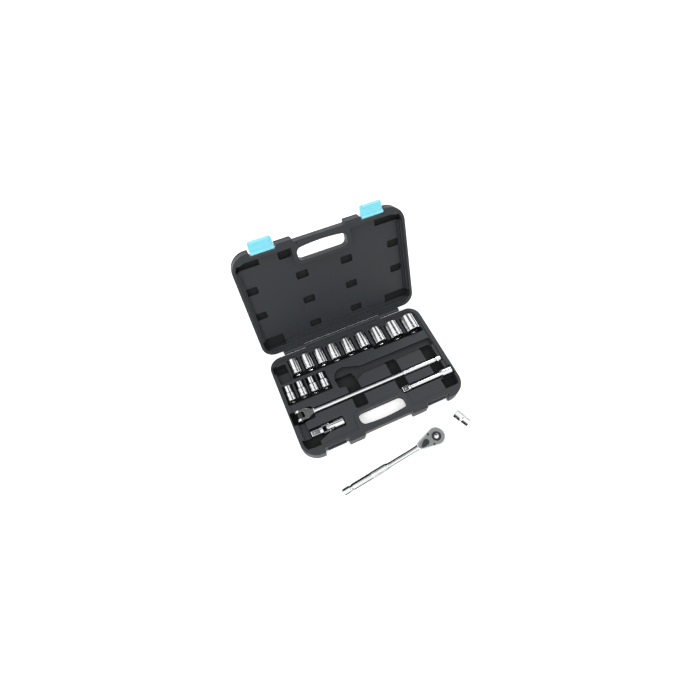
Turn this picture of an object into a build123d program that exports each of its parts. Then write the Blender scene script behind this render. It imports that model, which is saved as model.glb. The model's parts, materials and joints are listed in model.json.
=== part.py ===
"""Socket wrench set in a blow-moulded case, laid open on a table.

Millimetres, +Z up. The origin is the centre of the case's underside, +X runs along the hinge
and +Y points from the carrying handle to the hinge. Fourteen half-inch-drive sockets, a flex
handle, an extension and a universal joint: all but one socket lie in the tray, and that socket
and the ratchet lie on the table in front of the case.
"""
import os
from math import atan2, cos, degrees, pi, radians, sin, sqrt

from build123d import *

os.makedirs("parts", exist_ok=True)

# ---- case ------------------------------------------------------------------------------------
CASE_W = 404.0  # outside width
BACK_Y = 126.0  # back wall
FRONT_Y = -133.0  # bumps beside the latches
HANDLE_Y = -127.0  # front of the handle bar
NOTCH_Y = -123.0  # back of the latch notches
OPEN_FRONT = FRONT_Y - 30.0  # beyond the front, for areas that run out through it
BACK_CORNER = 30.0
FRONT_CORNER = 40.0
HANDLE_HALF = 60.0  # half the width of the handle bar
NOTCH_X = 126.5  # middle of each latch notch
NOTCH_W = 57.0
NOTCH_ROUND = 4.0
WALL = 2.2  # skin of the moulding
EDGE_ROUND = 2.5
RIM_Z = 30.0  # base rim
DECK_Z = 27.0  # tray deck
LID_RIM_Z = 30.3
LID_TOP_Z = 55.3
PANEL_Z = 46.0  # inner panel of the lid
LID_ANGLE = 116.2  # how far the lid leans back from closed
GAP = 0.4  # air between a tool and its cradle
LIP = 0.8  # chamfer round each pocket
CRADLE_SIDE = 1.8  # how far a socket's pocket reaches past the socket
CRADLE_END = 1.0
CRADLE_ROUND = 1.5
PANEL_LINE = 0.8  # depth of the line round the broad faces
RING_Y = 20.0
RING_W = 352.0
RING_L = 152.0
RING_ROUND = 20.0
RING_LINE = 3.0  # width of that line
DECK_HALF = 191.5
DECK_Y = 1.5
DECK_L = 231.0
DECK_ROUND = 20.0

GRIP_HOLE_HALF = 58.0
GRIP_HOLE_BACK = -80.0
GRIP_HOLE_SIDE = -109.0
GRIP_HOLE_FRONT = -113.5
GRIP_HOLE_ROUND = 12.0
ISLAND_HALF = 68.0  # raised land round the grip hole
ISLAND_BACK = -73.0
ISLAND_ROUND = 20.0
RELIEF_HALF = 62.0  # outside hollow that thins the handle
RELIEF_BACK = -72.0
RELIEF_ROUND = 15.0
BASE_RELIEF = 10.0
LID_RELIEF = 6.0

# ---- hinge and latches -----------------------------------------------------------------------
HINGE_Y = 132.0
HINGE_Z = 30.0
BARREL_R = 4.8
HINGE_PIN_R = 1.6
RUNNING = 0.05  # radial clearance of a pin in its hole
KNUCKLE_JOINT = 102.5  # where the long middle knuckle ends
KNUCKLE_END = 157.0
KNUCKLE_GAP = 0.5
LATCH_Y = -128.0
LATCH_Z = 34.5
LATCH_W = 52.0
LATCH_LENGTH = 24.5
LEDGE_Z = 14.3  # underside of the catch ledge
LATCH_PIN_R = 1.25
LATCH_BARREL_R = 3.6
LATCH_CORNER = 5.0

# ---- drives and sockets ----------------------------------------------------------------------
DRIVE = 12.7  # half-inch square
DRIVE_FIT = 0.25  # added to a female square
SQUARE_DEPTH = 15.5
BALL_R = 2.0
BALL_PROUD = 0.9

SOCKET_Z = 22.5  # axis height of the back row
# size, outside diameter, length, middle x, middle y
BACK_ROW = [
    (17, 24.0, 40.0, -144.5, 90.1),
    (18, 25.0, 40.0, -111.7, 90.1),
    (19, 26.0, 40.0, -78.8, 89.8),
    (20, 28.0, 41.0, -44.0, 88.1),
    (21, 28.6, 41.0, -5.6, 88.1),
    (22, 29.0, 41.0, 33.8, 88.1),
    (24, 32.0, 43.0, 75.9, 85.5),
    (27, 36.0, 44.0, 119.6, 82.8),
    (30, 38.6, 44.0, 166.0, 82.8),
]
# size, nose diameter, middle x
SMALL_Z = 20.5
SMALL_Y = 30.5
SMALL_L = 40.0
SMALL_OD = 21.6
FRONT_ROW = [(13, 18.2, -180.3), (12, 17.2, -151.0), (11, 16.0, -123.2), (10, 14.2, -95.6)]
LOOSE_SIZE = 14
LOOSE_NOSE = 20.0
LOOSE_OD = 22.0
LOOSE_L = 38.0
LOOSE_AT = (159.2, -185.0)
LOOSE_TURN = -65.5  # direction of the loose socket's axis on the table

# ---- flex handle -----------------------------------------------------------------------------
FLEX_Y = -33.5
FLEX_Z = 26.0
FLEX_PIVOT_X = -178.0
FLEX_END_X = 187.0
FORK_HALF = 12.8
FORK_R = 10.0
HEAD_W = 15.2
HEAD_R = 7.6
HEAD_REACH = 19.8  # pivot to the tip of the square
FLEX_PIN_R = 3.0

# ---- extension -------------------------------------------------------------------------------
EXT_Y = -71.8
EXT_Z = 24.0
EXT_TIP_X = 64.0
EXT_END_X = 194.0
EXT_R = 5.5
EXT_SOCKET_R = 10.3

# ---- universal joint -------------------------------------------------------------------------
UJ_Y = -81.5
UJ_Z = 20.5
UJ_X = -129.0  # crossing of the two pins
UJ_R = 10.3
UJ_TIP_X = -170.0
UJ_END_X = -92.0
UJ_FLAT = 6.1  # half the space between the prongs
UJ_BLOCK = 5.9
UJ_PIN_R = 2.5
UJ_SIDE_SWING = 20.0

# ---- ratchet ---------------------------------------------------------------------------------
HEAD_AT = (79.0, -200.0)  # drive centre on the table
HANDLE_TURN = 5.35  # from +X, towards the head
HANDLE_END = 236.0  # drive centre to the end of the handle
KNOB_R = 8.0
PEAR_R = 20.0
NECK_R = 9.5
NECK_AT = -40.0
HEAD_HALF = 9.0
SQUARE_TIP = -25.0  # below the handle's axis
TEETH = 36
TOOTH_TIP = 14.2
TOOTH_ROOT = 13.2
GEAR_BORE = 14.6
LEVER_AT = -27.0
PAWL_REACH = 14.0
PAWL_SPREAD = 29.57
LEVER_SWING = 20.0
COVER_T = 1.6
SCREW_AT = (-14.0, 12.4)
BUTTON_R = 5.6
BUTTON_TRAVEL = 3.0

# ---- tray pockets: x from, x to, y from, y to, floor, corner radius --------------------------
FINGER_FLOOR = 8.0
TROUGH_FLOOR = 9.0
POCKETS = [
    (-160.0, 54.0, 59.5, 71.0, TROUGH_FLOOR, 3.0),
    (50.0, 188.0, 52.5, 64.0, TROUGH_FLOOR, 3.0),
    (-193.5, -82.5, 0.5, 12.0, TROUGH_FLOOR, 3.0),
    (-53.0, -22.0, -68.0, 14.0, FINGER_FLOOR, 4.0),
    (58.0, 85.0, -68.0, 14.0, FINGER_FLOOR, 4.0),
    (153.0, 183.0, -72.0, 14.0, FINGER_FLOOR, 4.0),
    (-198.8, -166.0, -50.0, -17.5, FLEX_Z - HEAD_REACH - 1.5, 3.0),
    (-170.0, -146.0, -49.0, -18.5, FLEX_Z - FORK_R - 1.0, 5.0),
    (-150.0, 190.0, FLEX_Y - 8.0, FLEX_Y + 8.0, FLEX_Z - 7.6, 2.0),
    (62.0, 198.0, EXT_Y - 8.5, EXT_Y + 8.5, EXT_Z - 7.4, 2.0),
    (164.5, 198.0, EXT_Y - 12.0, EXT_Y + 12.0, EXT_Z - EXT_SOCKET_R - 0.6, 3.0),
    (-172.0, -90.0, UJ_Y - 12.2, UJ_Y + 12.2, UJ_Z - UJ_R - 0.6, 2.0),
    (-70.0, -26.0, -6.0, 23.0, 3.2, 4.0),
    (-47.0, 190.0, 7.0, 28.0, 18.6, 4.0),
    (-197.0, -164.0, 85.0, 107.0, FINGER_FLOOR, 4.0),
    (-193.0, -162.0, 58.0, 88.0, 19.0, 4.0),
    (-189.0, -173.0, -92.0, -46.0, 20.0, 3.0),
]
RATCHET_POCKET = (-45.0, 15.0, 26.5, 18.0)  # x, y, radius, floor
RATCHET_NECK = (-3.0, 17.5)
NECK_POCKET_R = 10.5
CORNER_INSET = 7.0
# the two front corner pockets: x from, x to, y from, y to
CORNER_POCKETS = [(-200.0, -157.0, -112.0, -88.0), (158.0, 200.0, -110.0, -84.0)]

# ---- lid panel: steps down to the panel, then the kiss-off pockets ---------------------------
# half width, front, back, depth z, corner radius
LID_STEPS = [
    (195.5, -116.0, 119.0, 35.0, 30.0),
    (190.5, -114.0, 111.5, 41.0, 24.0),
    (187.0, -112.0, 105.6, PANEL_Z, 18.0),
]
KISS_W = 29.0
KISS_L = 18.0
KISS_OFFS = [(x, y) for x in (-176.0, -57.0, 52.0, 172.0) for y in (23.0, -42.0)]
KISS_OFFS += [(-57.0, 90.0), (52.0, 90.0), (-83.0, -100.0)]
# lid corner pockets: x from, x to, y from, y to
LID_CORNERS = [
    (-196.0, -142.0, 86.0, 112.0),
    (131.0, 196.0, 86.0, 106.0),
    (-196.0, -140.0, -112.0, -96.0),
    (133.0, 196.0, -112.0, -95.0),
]


def side_plane(frame, x=0.0):
    """The plane at x in a frame, with the frame's Y and Z as its sketch axes."""
    return Plane(frame.from_local_coords(Vector(x, 0, 0)), x_dir=frame.y_dir, z_dir=frame.x_dir)


def flipped(frame, x=0.0):
    """The plane at x in a frame, facing -X."""
    return Plane(frame.from_local_coords(Vector(x, 0, 0)), x_dir=frame.y_dir, z_dir=-frame.x_dir)


def front_plane(frame, y=0.0):
    """The plane at y in a frame, facing -Y, with the frame's X and Z as its sketch axes."""
    return Plane(frame.from_local_coords(Vector(0, y, 0)), x_dir=frame.x_dir, z_dir=-frame.y_dir)


def shifted(frame, x=0.0, y=0.0, z=0.0):
    """The same frame with its origin moved to a point of its own."""
    return Plane(frame.from_local_coords(Vector(x, y, z)), x_dir=frame.x_dir, z_dir=frame.z_dir)


def save(part, name):
    part.label = name
    export_step(part, f"parts/{name}.step")


BASE = Plane.XY
LEAN = radians(LID_ANGLE)
LID = Plane(
    (
        0,
        HINGE_Y - HINGE_Y * cos(LEAN) - HINGE_Z * sin(LEAN),
        HINGE_Z + HINGE_Y * sin(LEAN) - HINGE_Z * cos(LEAN),
    ),
    x_dir=(1, 0, 0),
    z_dir=(0, sin(LEAN), cos(LEAN)),
)


# ---- case mouldings --------------------------------------------------------------------------
def case_outline(plane, inset=0.0):
    """Plan of the case: rounded corners, two latch notches and the handle set back."""
    with BuildSketch(plane) as plan:
        with Locations((0, (BACK_Y + FRONT_Y) / 2)):
            Rectangle(CASE_W - 2 * inset, BACK_Y - FRONT_Y - 2 * inset)
        fillet(plan.vertices().group_by(Axis.Y)[-1], BACK_CORNER - inset)
        fillet(plan.vertices().group_by(Axis.Y)[0], FRONT_CORNER - inset)
        notch_depth = NOTCH_Y - FRONT_Y + inset
        with Locations((-NOTCH_X, FRONT_Y), (NOTCH_X, FRONT_Y)):
            Rectangle(NOTCH_W + 2 * inset, 2 * notch_depth, mode=Mode.SUBTRACT)
        with Locations((0, FRONT_Y)):
            Rectangle(2 * (HANDLE_HALF + inset), 2 * (HANDLE_Y - FRONT_Y + inset), mode=Mode.SUBTRACT)
        reach = NOTCH_X + NOTCH_W / 2 + 1
        corners = plan.vertices().filter_by_position(Axis.Y, FRONT_Y - 1, NOTCH_Y + inset + 1)
        corners = corners.filter_by_position(Axis.X, -reach, reach)
        fillet(corners, min(NOTCH_ROUND, 2.2) if inset else NOTCH_ROUND / 2)
    return plan.sketch


def grip_hole(plane, grow=0.0):
    """Finger opening behind the handle bar, with an arched front edge."""
    side = GRIP_HOLE_HALF + grow
    back = GRIP_HOLE_BACK + grow
    shoulder = GRIP_HOLE_SIDE - grow
    with BuildSketch(plane) as hole:
        with BuildLine():
            Polyline((-side, shoulder), (-side, back), (side, back), (side, shoulder))
            ThreePointArc((side, shoulder), (0, GRIP_HOLE_FRONT - grow), (-side, shoulder))
        make_face()
        fillet(hole.vertices(), GRIP_HOLE_ROUND + grow)
    return hole.sketch


def rounded_box(plane, x0, x1, y0, y1, radius):
    """Rectangle with rounded corners between two x and two y."""
    with BuildSketch(plane) as area:
        with Locations(((x0 + x1) / 2, (y0 + y1) / 2)):
            RectangleRounded(x1 - x0, y1 - y0, radius)
    return area.sketch


def handle_land(plane, grow=0.0):
    """Raised land round the grip hole, open to the front."""
    half = ISLAND_HALF + grow
    return rounded_box(plane, -half, half, OPEN_FRONT, ISLAND_BACK + grow, ISLAND_ROUND)


def handle_relief(plane, grow=0.0):
    """Area where the outside of the case is hollowed to thin the handle."""
    half = RELIEF_HALF + grow
    return rounded_box(plane, -half, half, OPEN_FRONT, RELIEF_BACK + grow, RELIEF_ROUND)


def panel_ring(plane):
    """Plan of the line pressed into the broad faces of both mouldings."""
    with BuildSketch(plane) as ring:
        with Locations((0, RING_Y)):
            RectangleRounded(RING_W, RING_L, RING_ROUND)
            inner = (RING_W - 2 * RING_LINE, RING_L - 2 * RING_LINE, RING_ROUND - RING_LINE)
            RectangleRounded(*inner, mode=Mode.SUBTRACT)
    return ring.sketch


def tray_pockets(grow=0.0):
    """Everything cut from the tray; with grow, the same pockets with their walls round them."""
    top = RIM_Z + 2
    with BuildPart() as pockets:
        for x0, x1, y0, y1, floor, radius in POCKETS:
            bottom = BASE.offset(floor - grow)
            area = rounded_box(bottom, x0 - grow, x1 + grow, y0 - grow, y1 + grow, radius + grow)
            extrude(area, amount=top - floor + grow)
        for size, outer, length, x, y in BACK_ROW:
            half = outer / 2 + CRADLE_SIDE + grow
            end = length / 2 + CRADLE_END + grow
            ledge = BASE.offset(SOCKET_Z - 2 - grow)
            area = rounded_box(ledge, x - half, x + half, y - end, y + end, CRADLE_ROUND + grow)
            extrude(area, amount=top - SOCKET_Z + 2 + grow)
            with Locations(Location((x, y, SOCKET_Z), (90, 0, 0))):
                Cylinder(outer / 2 + GAP + grow, 2 * end)
        for size, nose, x in FRONT_ROW:
            half = SMALL_OD / 2 + CRADLE_SIDE + grow
            end = SMALL_L / 2 + CRADLE_END + grow
            ledge = BASE.offset(SMALL_Z - 2 - grow)
            area = rounded_box(
                ledge, x - half, x + half, SMALL_Y - end, SMALL_Y + end, CRADLE_ROUND + grow
            )
            extrude(area, amount=top - SMALL_Z + 2 + grow)
            with Locations(Location((x, SMALL_Y, SMALL_Z), (90, 0, 0))):
                Cylinder(SMALL_OD / 2 + GAP + grow, 2 * end)
        x, y, radius, floor = RATCHET_POCKET
        with BuildSketch(BASE.offset(floor - grow)) as head_area:
            with Locations((x, y)):
                Circle(radius + grow)
            with Locations(RATCHET_NECK):
                Circle(NECK_POCKET_R + grow)
            make_hull()
        extrude(amount=top - floor + grow)
        for x0, x1, y0, y1 in CORNER_POCKETS:
            with BuildSketch(BASE.offset(FINGER_FLOOR - grow)) as corner:
                add(case_outline(BASE, inset=CORNER_INSET - grow))
                with Locations(((x0 + x1) / 2, (y0 + y1) / 2)):
                    Rectangle(x1 - x0 + 2 * grow, y1 - y0 + 2 * grow, mode=Mode.INTERSECT)
            extrude(amount=top - FINGER_FLOOR + grow)
        # room for the drive half of the universal joint to swing to the front
        swung = Plane((UJ_X, UJ_Y, 0), x_dir=Vector(1, 0, 0).rotate(Axis.Z, UJ_SIDE_SWING))
        tip = swung.from_local_coords(Vector(UJ_TIP_X - UJ_X - 1.0, -UJ_R - 1.0, 0))
        heel = swung.from_local_coords(Vector(14.0, -UJ_R - 1.0, 0))
        left = UJ_TIP_X - 2.0 - grow
        fan_floor = UJ_Z - UJ_R - 0.6 - grow
        with BuildSketch(BASE.offset(fan_floor)) as fan:
            with BuildLine():
                Polyline(
                    (heel.X + grow, heel.Y - grow),
                    (tip.X - grow, tip.Y - grow),
                    (left, tip.Y - grow),
                    (left, UJ_Y),
                    (heel.X + grow, UJ_Y),
                    close=True,
                )
            make_face()
        extrude(amount=top - fan_floor)
    return pockets.part


def pocket_lips():
    """Chamfer that softens the edge of every rectangular pocket at the deck."""
    with BuildPart() as lips:
        for x0, x1, y0, y1, floor, radius in POCKETS:
            area = rounded_box(BASE.offset(DECK_Z - LIP), x0, x1, y0, y1, radius)
            extrude(area, amount=LIP, taper=-45)
    return lips.part


def knuckle(frame, x0, x1, web):
    """Hinge barrel from x0 to x1 with a web back to its moulding, and the bore for the pin."""
    with BuildPart() as barrel:
        with BuildSketch(side_plane(frame, x0)) as profile:
            with BuildLine():
                Polyline(*web, close=True)
            make_face()
            with Locations((HINGE_Y, HINGE_Z)):
                Circle(BARREL_R)
        extrude(amount=x1 - x0)
    return barrel.part


def hinge_bore(frame):
    with BuildPart() as bore:
        with BuildSketch(side_plane(frame, -KNUCKLE_END - 1)) as section:
            with Locations((HINGE_Y, HINGE_Z)):
                Circle(HINGE_PIN_R + RUNNING)
        extrude(amount=2 * KNUCKLE_END + 2)
    return bore.part


# ---- base ------------------------------------------------------------------------------------
def base_hollow():
    """The air between the outer skin and the tray."""
    with BuildPart() as hollow:
        extrude(case_outline(BASE.offset(WALL + 0.4), inset=WALL), amount=DECK_Z - 2 * WALL - 0.4)
        add(tray_pockets(WALL), mode=Mode.SUBTRACT)
        extrude(grip_hole(BASE, WALL), amount=RIM_Z, mode=Mode.SUBTRACT)
        extrude(handle_relief(BASE, WALL), amount=BASE_RELIEF + WALL, mode=Mode.SUBTRACT)
    return hollow.part


BASE_WEB = [
    (BACK_Y - 1.0, 18.0),
    (BACK_Y, 18.0),
    (HINGE_Y, HINGE_Z - BARREL_R),
    (HINGE_Y, HINGE_Z - 0.2),
    (BACK_Y - 1.0, HINGE_Z - 0.2),
]
LID_WEB = [
    (BACK_Y - 1.0, 44.0),
    (BACK_Y, 44.0),
    (HINGE_Y, HINGE_Z + BARREL_R),
    (HINGE_Y, LID_RIM_Z + 0.2),
    (BACK_Y - 1.0, LID_RIM_Z + 0.2),
]

with BuildPart() as base_shell:
    extrude(case_outline(BASE), amount=RIM_Z)
    fillet(base_shell.faces().sort_by(Axis.Z)[0].edges(), EDGE_ROUND)
    with BuildSketch(BASE.offset(DECK_Z)) as deck:
        with Locations((0, DECK_Y)):
            RectangleRounded(2 * DECK_HALF, DECK_L, DECK_ROUND)
        add(handle_land(BASE), mode=Mode.SUBTRACT)
    extrude(amount=RIM_Z - DECK_Z + 1, mode=Mode.SUBTRACT)
    add(tray_pockets(), mode=Mode.SUBTRACT)
    add(pocket_lips(), mode=Mode.SUBTRACT)
    extrude(grip_hole(BASE), amount=RIM_Z, mode=Mode.SUBTRACT)
    extrude(handle_relief(BASE), amount=BASE_RELIEF, mode=Mode.SUBTRACT)
    extrude(panel_ring(BASE), amount=PANEL_LINE, mode=Mode.SUBTRACT)
    add(base_hollow(), mode=Mode.SUBTRACT)
    # catch ledges in the latch notches
    for side in (-1, 1):
        with BuildSketch(side_plane(BASE, side * NOTCH_X - 22)) as ledge:
            with BuildLine():
                Polyline(
                    (NOTCH_Y + 1.0, LEDGE_Z),
                    (NOTCH_Y - 4.6, LEDGE_Z),
                    (NOTCH_Y - 4.6, LEDGE_Z + 1.5),
                    (NOTCH_Y, LEDGE_Z + 6.7),
                    (NOTCH_Y + 1.0, LEDGE_Z + 6.7),
                    close=True,
                )
            make_face()
        extrude(amount=44)
    add(knuckle(BASE, -KNUCKLE_JOINT, KNUCKLE_JOINT, BASE_WEB))
    add(hinge_bore(BASE), mode=Mode.SUBTRACT)
save(base_shell.part, "base_shell")


# ---- lid -------------------------------------------------------------------------------------
def lid_recess(grow=0.0):
    """Hollow of the lid: the stepped walls, the panel and its pockets, clear of the handle."""
    start = LID_RIM_Z - 1
    kiss_floor = LID_TOP_Z - WALL
    with BuildPart() as recess:
        for half, front, back, depth, radius in LID_STEPS:
            area = rounded_box(
                LID.offset(start), -half - grow, half + grow, front - grow, back + grow, radius + grow
            )
            extrude(area, amount=depth - start + grow)
        for x, y in KISS_OFFS:
            area = rounded_box(
                LID.offset(PANEL_Z - 1),
                x - KISS_W / 2 - grow,
                x + KISS_W / 2 + grow,
                y - KISS_L / 2 - grow,
                y + KISS_L / 2 + grow,
                4 + grow,
            )
            extrude(area, amount=kiss_floor - PANEL_Z + 1 + grow)
        for x0, x1, y0, y1 in LID_CORNERS:
            with BuildSketch(LID.offset(start)) as corner:
                add(case_outline(BASE, inset=CORNER_INSET - grow))
                with Locations(((x0 + x1) / 2, (y0 + y1) / 2)):
                    Rectangle(x1 - x0 + 2 * grow, y1 - y0 + 2 * grow, mode=Mode.INTERSECT)
            extrude(amount=kiss_floor - start + grow)
        extrude(handle_land(LID.offset(start - grow), -grow), amount=60, mode=Mode.SUBTRACT)
    return recess.part


def lid_hollow():
    """The air between the lid's outer skin and its inner panel."""
    low = LID_RIM_Z + WALL
    high = LID_TOP_Z - WALL
    with BuildPart() as hollow:
        extrude(case_outline(LID.offset(low), inset=WALL), amount=high - low)
        add(lid_recess(WALL), mode=Mode.SUBTRACT)
        extrude(grip_hole(LID.offset(LID_RIM_Z), WALL), amount=LID_TOP_Z - LID_RIM_Z, mode=Mode.SUBTRACT)
        relief = handle_relief(LID.offset(LID_TOP_Z - LID_RELIEF - WALL), WALL)
        extrude(relief, amount=LID_RELIEF + WALL + 1, mode=Mode.SUBTRACT)
    return hollow.part


with BuildPart() as lid_shell:
    extrude(case_outline(LID.offset(LID_RIM_Z)), amount=LID_TOP_Z - LID_RIM_Z)
    fillet(lid_shell.faces().filter_by(LID).sort_by(Axis(LID.origin, LID.z_dir))[-1].edges(), EDGE_ROUND)
    add(lid_recess(), mode=Mode.SUBTRACT)
    extrude(grip_hole(LID.offset(LID_RIM_Z)), amount=LID_TOP_Z - LID_RIM_Z, mode=Mode.SUBTRACT)
    extrude(handle_relief(LID.offset(LID_TOP_Z - LID_RELIEF)), amount=LID_RELIEF + 1, mode=Mode.SUBTRACT)
    extrude(panel_ring(LID.offset(LID_TOP_Z - PANEL_LINE)), amount=PANEL_LINE, mode=Mode.SUBTRACT)
    add(lid_hollow(), mode=Mode.SUBTRACT)
    for side in (-1, 1):
        low = min(side * (KNUCKLE_JOINT + KNUCKLE_GAP), side * KNUCKLE_END)
        add(knuckle(LID, low, low + KNUCKLE_END - KNUCKLE_JOINT - KNUCKLE_GAP, LID_WEB))
    add(hinge_bore(LID), mode=Mode.SUBTRACT)
    # holes for the latch pins in the notch walls, and the lanyard hole in the handle bar
    for side in (-1, 1):
        with BuildSketch(side_plane(LID, side * NOTCH_X - NOTCH_W / 2 - 3)) as pin_hole:
            with Locations((LATCH_Y, LATCH_Z)):
                Circle(LATCH_PIN_R + RUNNING)
        extrude(amount=NOTCH_W + 6, mode=Mode.SUBTRACT)
    with BuildSketch(LID.offset(LID_RIM_Z - 1)) as lanyard_hole:
        with Locations((-53, -121.5)):
            Circle(1.6)
    extrude(amount=30, mode=Mode.SUBTRACT)
save(lid_shell.part, "lid_shell")

with BuildPart() as hinge_pin:
    with BuildSketch(side_plane(BASE, -KNUCKLE_END)) as section:
        with Locations((HINGE_Y, HINGE_Z)):
            Circle(HINGE_PIN_R)
    extrude(amount=2 * KNUCKLE_END)
    chamfer(hinge_pin.edges().filter_by(GeomType.CIRCLE), 0.4)
save(hinge_pin.part, "hinge_pin")


# ---- latches ---------------------------------------------------------------------------------
def make_latch(x):
    """Latch standing out from the front of the lid: barrel, plate, hook and finger lip."""
    tip = LATCH_Y - LATCH_LENGTH
    with BuildPart() as latch:
        with BuildSketch(side_plane(LID, x - LATCH_W / 2)) as profile:
            with Locations((LATCH_Y, LATCH_Z)):
                Circle(LATCH_BARREL_R)
            with BuildLine():
                Polyline(
                    (LATCH_Y, LATCH_Z + 1.2),
                    (LATCH_Y, LATCH_Z + LATCH_BARREL_R),
                    (LATCH_Y - 4, LATCH_Z + 4.4),
                    (tip + 6, LATCH_Z + 4.4),
                    (tip, LATCH_Z + 6.6),
                    (tip, LATCH_Z + 3.6),
                    (tip + 6, LATCH_Z + 1.6),
                    close=True,
                )
            make_face()
        extrude(amount=LATCH_W)
        edges = latch.edges().filter_by(GeomType.LINE).filter_by(Axis(LID.origin, LID.z_dir))
        fillet(edges.group_by(Axis(LID.origin, LID.y_dir))[0], LATCH_CORNER)
        # hook that goes under the catch ledge
        with BuildSketch(side_plane(LID, x - 20)) as hook:
            with BuildLine():
                Polyline(
                    (tip, LATCH_Z - 2.0),
                    (tip + 1.2, LATCH_Z - 3.5),
                    (tip + 4, LATCH_Z - 3.5),
                    (tip + 4, LATCH_Z + 2.6),
                    (tip, LATCH_Z + 4.0),
                    close=True,
                )
            make_face()
        extrude(amount=40)
        # stiffening ribs on the outer face
        for rib in (-15, -5, 5, 15):
            with BuildSketch(side_plane(LID, x + rib - 1)) as rib_profile:
                with Locations(((LATCH_Y + tip) / 2 + 1, LATCH_Z + 4.6)):
                    Rectangle(LATCH_LENGTH - 14, 1.2)
            extrude(amount=2)
        with BuildSketch(side_plane(LID, x - LATCH_W / 2)) as bore:
            with Locations((LATCH_Y, LATCH_Z)):
                Circle(LATCH_PIN_R + RUNNING)
        extrude(amount=LATCH_W, mode=Mode.SUBTRACT)
    return latch.part


def make_latch_pin(x):
    half = NOTCH_W / 2 + 2.0
    with BuildPart() as pin:
        with BuildSketch(side_plane(LID, x - half)) as section:
            with Locations((LATCH_Y, LATCH_Z)):
                Circle(LATCH_PIN_R)
        extrude(amount=2 * half)
        chamfer(pin.edges().filter_by(GeomType.CIRCLE), 0.3)
    return pin.part


for side, x in (("left", -NOTCH_X), ("right", NOTCH_X)):
    save(make_latch(x), f"latch_{side}")
    save(make_latch_pin(x), f"latch_pin_{side}")


# ---- sockets ---------------------------------------------------------------------------------
def make_socket(drive_end, size, outer, nose, length):
    """Socket on a plane at the middle of its drive end, with Z towards the nut end.

    Its inside is a female square, a relief bore and a twelve-point opening.
    """
    step = 0.5 * length
    hex_depth = 0.42 * length
    bore = size - 1 if size > DRIVE + 2 else 0.93 * min(size, DRIVE)
    axis = Axis(drive_end.origin, drive_end.z_dir)
    profile_plane = side_plane(drive_end)
    with BuildPart() as socket:
        with BuildSketch(profile_plane) as half:
            with BuildLine():
                Polyline(
                    (0, 0),
                    (outer / 2 - 0.8, 0),
                    (outer / 2, 0.8),
                    (outer / 2, 7.0),
                    (outer / 2 - 0.5, 7.5),
                    (outer / 2 - 0.5, 10.0),
                    (outer / 2, 10.5),
                    (outer / 2, step),
                    (nose / 2, step + (outer - nose) / 2 + 0.2),
                    (nose / 2, length - 1.0),
                    (nose / 2 - 1.0, length),
                    (0, length),
                    close=True,
                )
            make_face()
        revolve(axis=axis)
        with BuildSketch(drive_end) as square:
            Rectangle(DRIVE + DRIVE_FIT, DRIVE + DRIVE_FIT)
        extrude(amount=SQUARE_DEPTH, mode=Mode.SUBTRACT)
        with BuildSketch(drive_end) as lead_in:
            Circle(0.62 * DRIVE)
        extrude(amount=1.2, taper=30, mode=Mode.SUBTRACT)
        with BuildSketch(drive_end.offset(SQUARE_DEPTH)) as relief:
            Circle(bore / 2)
        extrude(amount=length - SQUARE_DEPTH, mode=Mode.SUBTRACT)
        with BuildSketch(drive_end.offset(length - hex_depth)) as points:
            RegularPolygon(size / 2, 6, major_radius=False)
            RegularPolygon(size / 2, 6, major_radius=False, rotation=30)
        extrude(amount=hex_depth, mode=Mode.SUBTRACT)
        # ball dimples in the four walls of the square
        for turn in range(4):
            spoke = Vector(DRIVE / 2 + 0.9, 0, 8.0).rotate(Axis.Z, 90 * turn)
            with Locations(drive_end.from_local_coords(spoke)):
                Sphere(BALL_R + 0.1, mode=Mode.SUBTRACT)
    return socket.part


def drive_end_at(x, y, z):
    """Plane at a socket's drive end, with Z towards the hinge."""
    return Plane((x, y, z), x_dir=(1, 0, 0), z_dir=(0, 1, 0))


for size, outer, length, x, y in BACK_ROW:
    part = make_socket(drive_end_at(x, y - length / 2, SOCKET_Z), size, outer, outer - 0.6, length)
    save(part, f"socket_{size}mm")
for size, nose, x in FRONT_ROW:
    part = make_socket(drive_end_at(x, SMALL_Y - SMALL_L / 2, SMALL_Z), size, SMALL_OD, nose, SMALL_L)
    save(part, f"socket_{size}mm")
lay = radians(LOOSE_TURN)
loose_plane = Plane(
    (LOOSE_AT[0] - LOOSE_L / 2 * cos(lay), LOOSE_AT[1] - LOOSE_L / 2 * sin(lay), LOOSE_OD / 2),
    x_dir=(0, 0, 1),
    z_dir=(cos(lay), sin(lay), 0),
)
save(make_socket(loose_plane, LOOSE_SIZE, LOOSE_OD, LOOSE_NOSE, LOOSE_L), f"socket_{LOOSE_SIZE}mm")


# ---- detent ball and spring shared by the drives ---------------------------------------------
BALL_SINK = DRIVE / 2 + BALL_PROUD - BALL_R  # ball centre to the drive's axis
BALL_FROM_TIP = 7.0  # ball centre to the tip of the square
BALL_HOLE = 4.5  # how far the hole runs past the drive's axis
MOUTH = 0.3  # depth of the narrower mouth that keeps a ball in
SPRING_WIRE = 0.35
SPRING_R = 1.4
SPRING_LENGTH = 6.5
TIP_BEVEL = 1.3


def ball_hole(plane, depth):
    """Blind hole for ball and spring; the plane sits on the drive's axis with Z out of the hole."""
    with BuildPart() as hole:
        with BuildSketch(plane.offset(-depth)) as section:
            Circle(BALL_R + 0.1)
        extrude(amount=depth + DRIVE / 2 - MOUTH)
        with BuildSketch(plane.offset(DRIVE / 2 - MOUTH)) as mouth:
            Circle(BALL_R - 0.1)
        extrude(amount=1.0)
    return hole.part


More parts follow.
